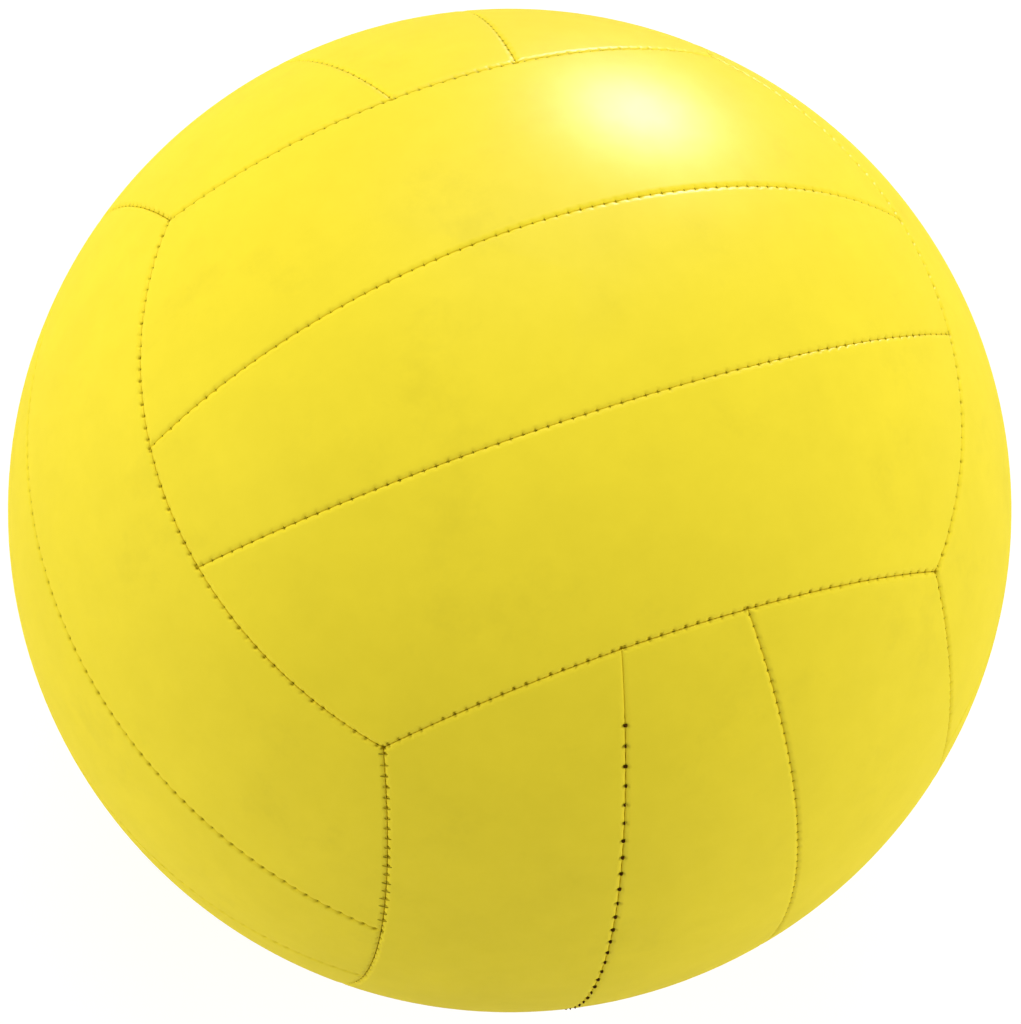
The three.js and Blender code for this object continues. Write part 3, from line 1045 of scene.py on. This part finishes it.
def hang_lamp(name, direction, distance, size, power):
    """A square soft lamp that looks at the ball's centre."""
    towards = Vector(direction).normalized()
    bpy.ops.object.light_add(type="AREA", location=towards * distance)
    lamp = bpy.context.object
    lamp.name = name
    lamp.rotation_euler = towards.to_track_quat("Z", "Y").to_euler()
    lamp.data.size = size
    lamp.data.energy = power
    lamp.visible_camera = False
    return lamp


def set_camera(scene, setting):
    """A long lens at the photograph's viewing angle."""
    bpy.ops.object.camera_add()
    camera = bpy.context.object
    camera.matrix_world = (
        Matrix.Rotation(setting.azimuth, 4, "Z")
        @ Matrix.Rotation(math.pi / 2 - setting.elevation, 4, "X")
        @ Matrix.Rotation(setting.roll, 4, "Z")
        @ Matrix.Translation((0, 0, setting.distance))
    )
    camera.data.sensor_fit = "VERTICAL"
    camera.data.sensor_height = SENSOR_HEIGHT
    camera.data.lens = setting.lens
    camera.data.shift_x, camera.data.shift_y = setting.shift
    scene.camera = camera


# Operators


class VOLLEYBALL_OT_cover(Operator):
    """Models the cover strips and lays one over each strip of the frame"""
    bl_idname = "volleyball.cover"
    bl_label = "Cover strips"
    bl_options = {"REGISTER", "UNDO"}

    def execute(self, context):
        lay_strips(context, model_strip, pvc_leather, "strip", "cover")
        return {"FINISHED"}


class VOLLEYBALL_OT_backing(Operator):
    """Models the foam and cloth backing inside each strip"""
    bl_idname = "volleyball.backing"
    bl_label = "Backings"
    bl_options = {"REGISTER", "UNDO"}

    def execute(self, context):
        lay_strips(context, model_backing, woven_backing, "lining", "backing")
        return {"FINISHED"}


class VOLLEYBALL_OT_thread(Operator):
    """Sews the seams of each group"""
    bl_idname = "volleyball.thread"
    bl_label = "Seam thread"
    bl_options = {"REGISTER", "UNDO"}

    def execute(self, context):
        settings = context.scene.volleyball
        sewing = settings.sewing
        plan = SeamPlan(settings.cover, sewing)
        material = waxed_thread("waxed_polyester_thread", settings.colours.thread)
        over_seam = Stitch(-SEAM_REACH, SEAM_REACH, sewing.thread, THREAD_SIDES, sewing.sink)
        over_end = over_seam._replace(low=-sewing.edge_hole, high=sewing.end_hole)
        by_hand = over_seam._replace(low=-sewing.hand_reach, high=sewing.hand_reach, sink=sewing.hand_sink)
        for group in GROUPS:
            rows = [(plan.across(end), sew_by_machine, over_end) for end in (plan.near_end, plan.far_end)]
            for seam in (plan.low_seam, plan.high_seam):
                rows.append((plan.along(seam), sew_by_machine, over_seam))
            if group == HAND_SEWN_GROUP:
                whole = rows.pop(0)[0]
                rows.append((whole.part(0, sewing.hand_stitches), sew_by_hand, by_hand))
                rows.append((whole.part(sewing.hand_stitches, whole.stitches), sew_by_machine, over_end))
            if group == LACED_GROUP:
                rows.pop()
            lay_thread(rows, sewing.strand, f"stitches_{group}", group, material, f"thread_{group}")
        return {"FINISHED"}


class VOLLEYBALL_OT_lace(Operator):
    """Sews the seam that closes the ball"""
    bl_idname = "volleyball.lace"
    bl_label = "Closing lace"
    bl_options = {"REGISTER", "UNDO"}

    def execute(self, context):
        settings = context.scene.volleyball
        sewing = settings.sewing
        plan = SeamPlan(settings.cover, sewing)
        material = waxed_thread("waxed_closing_thread", settings.colours.lace)
        stitch = Stitch(-sewing.lace_hole, sewing.lace_hole, sewing.lace, LACE_SIDES, sewing.lace_sink)
        rows = [(plan.lacing(), sew_by_hand, stitch)]
        lay_thread(rows, sewing.strand, "closing_stitches", LACED_GROUP, material, "closing_lace")
        return {"FINISHED"}


class VOLLEYBALL_OT_bladder(Operator):
    """Models the bladder with its hole for the valve"""
    bl_idname = "volleyball.bladder"
    bl_label = "Bladder"
    bl_options = {"REGISTER", "UNDO"}

    def execute(self, context):
        settings = context.scene.volleyball
        valve = settings.valve
        bpy.ops.mesh.primitive_uv_sphere_add(
            segments=BLADDER_SIDES, ring_count=BLADDER_RINGS, radius=BLADDER_RADIUS,
            rotation=(-math.pi / 2, 0, 0),
        )
        bpy.ops.object.transform_apply(rotation=True)
        piece = bpy.context.object
        piece.name = "bladder_skin"
        top = math.cos(valve.hole / BLADDER_RADIUS) * BLADDER_RADIUS
        bpy.ops.object.mode_set(mode="EDIT")
        choose(piece, "VERT", lambda vertex: vertex.co.y > top)
        bpy.ops.mesh.delete(type="VERT")
        bpy.ops.object.mode_set(mode="OBJECT")
        rim = max((vertex.co for vertex in piece.data.vertices), key=lambda place: place.y)
        to_hole = valve.hole / math.hypot(rim.x, rim.z)
        bpy.ops.object.mode_set(mode="EDIT")
        select_open_edges()
        bpy.ops.transform.resize(value=(to_hole, 1, to_hole), center_override=ORIGIN)
        bpy.ops.object.mode_set(mode="OBJECT")
        apply_modifier(piece, "SOLIDIFY", thickness=valve.wall, offset=-1)
        smooth(piece)
        rubber = moulded_rubber("butyl_rubber", settings.colours.bladder, roughness=0.7)
        finish_piece(piece, rubber, "bladder")
        return {"FINISHED"}


class VOLLEYBALL_OT_valve(Operator):
    """Turns the valve's housing and the core inside it"""
    bl_idname = "volleyball.valve"
    bl_label = "Valve"
    bl_options = {"REGISTER", "UNDO"}

    def execute(self, context):
        settings = context.scene.volleyball
        valve = settings.valve
        edge = valve.edge
        top = VALVE_HIGH.y
        flange_radius = VALVE_HIGH.x
        face = BLADDER_RADIUS - valve.wall - valve.gap
        root = math.sqrt(face ** 2 - valve.nose ** 2)
        rim = math.sqrt(face ** 2 - flange_radius ** 2)
        seat = top - valve.head - valve.gap
        housing = turned("valve_body", [
            (valve.bore, VALVE_LOW.y),
            (valve.boss - edge, VALVE_LOW.y),
            (valve.boss, VALVE_LOW.y + edge),
            (valve.boss, root - valve.flange - edge),
            (valve.boss + edge, root - valve.flange),
            (flange_radius, rim - valve.flange_rim),
            (flange_radius, rim),
            (valve.nose + edge, root),
            (valve.nose, root + edge),
            (valve.nose, top - edge),
            (valve.nose - edge, top),
            (valve.counterbore + edge, top),
            (valve.counterbore, top - edge),
            (valve.counterbore, seat),
            (valve.bore, seat),
            (valve.bore, VALVE_LOW.y),
        ])
        rubber = moulded_rubber("valve_rubber", settings.colours.valve, roughness=0.6)
        finish_piece(housing, rubber, "valve_housing")

        head_radius = valve.counterbore - valve.gap
        bulb_top = VALVE_LOW.y - valve.gap
        bulb_radius = CORE_HIGH.x
        core = turned("valve_plug", [
            (0, CORE_LOW.y),
            (valve.stem, CORE_LOW.y),
            (bulb_radius, (CORE_LOW.y + bulb_top) / 2),
            (bulb_radius, bulb_top - edge),
            (bulb_radius - edge, bulb_top),
            (valve.stem, bulb_top),
            (valve.stem, top - valve.head),
            (head_radius, top - valve.head),
            (head_radius, top - edge),
            (head_radius - edge, top),
            (valve.channel + edge, top),
            (valve.channel, top - edge),
            (valve.channel, CORE_LOW.y + valve.channel_end),
            (0, CORE_LOW.y + valve.channel_end - valve.channel),
        ])
        rubber = moulded_rubber("core_rubber", settings.colours.core, roughness=0.55)
        finish_piece(core, rubber, "valve_core")
        return {"FINISHED"}


class VOLLEYBALL_OT_stage(Operator):
    """Lays the floor, hangs the lamps and sets the camera"""
    bl_idname = "volleyball.stage"
    bl_label = "Stage"
    bl_options = {"REGISTER", "UNDO"}

    def execute(self, context):
        settings = context.scene.volleyball
        context.scene.view_settings.view_transform = "Standard"
        lay_floor(settings.colours)
        light_world(context.scene)
        for name, lamp in LAMPS.items():
            hang_lamp(name, *lamp).visible_glossy = False
        hang_lamp("gloss_lamp", *GLOSS_LAMP).visible_diffuse = False
        set_camera(context.scene, settings.camera)
        return {"FINISHED"}


# Add-on

BUILD_ORDER = (
    VOLLEYBALL_OT_stage,
    VOLLEYBALL_OT_bladder,
    VOLLEYBALL_OT_valve,
    VOLLEYBALL_OT_backing,
    VOLLEYBALL_OT_cover,
    VOLLEYBALL_OT_thread,
    VOLLEYBALL_OT_lace,
)


class VOLLEYBALL_PT_build(Panel):
    """Lists the steps of the build and the settings"""
    bl_idname = "VOLLEYBALL_PT_build"
    bl_label = "Volleyball"
    bl_space_type = "VIEW_3D"
    bl_region_type = "UI"
    bl_category = "Volleyball"

    def draw(self, context):
        for step in BUILD_ORDER:
            self.layout.operator(step.bl_idname)
        settings = context.scene.volleyball
        for part in BallSettings.__annotations__:
            box = self.layout.box()
            box.label(text=part.capitalize())
            group = getattr(settings, part)
            for key in group.__annotations__:
                box.prop(group, key)


CLASSES = (
    CoverSizes, SewingSizes, ValveSizes, Colours, CameraSetting, BallSettings, *BUILD_ORDER,
    VOLLEYBALL_PT_build,
)


def register():
    for each in CLASSES:
        bpy.utils.register_class(each)
    bpy.types.Scene.volleyball = PointerProperty(type=BallSettings)


def unregister():
    del bpy.types.Scene.volleyball
    for each in reversed(CLASSES):
        bpy.utils.unregister_class(each)


def main():
    register()
    bpy.ops.volleyball.stage()
    bpy.ops.volleyball.bladder()
    bpy.ops.volleyball.valve()
    bpy.ops.volleyball.backing()
    bpy.ops.volleyball.cover()
    bpy.ops.volleyball.thread()
    bpy.ops.volleyball.lace()


if __name__ == "__main__":
    main()
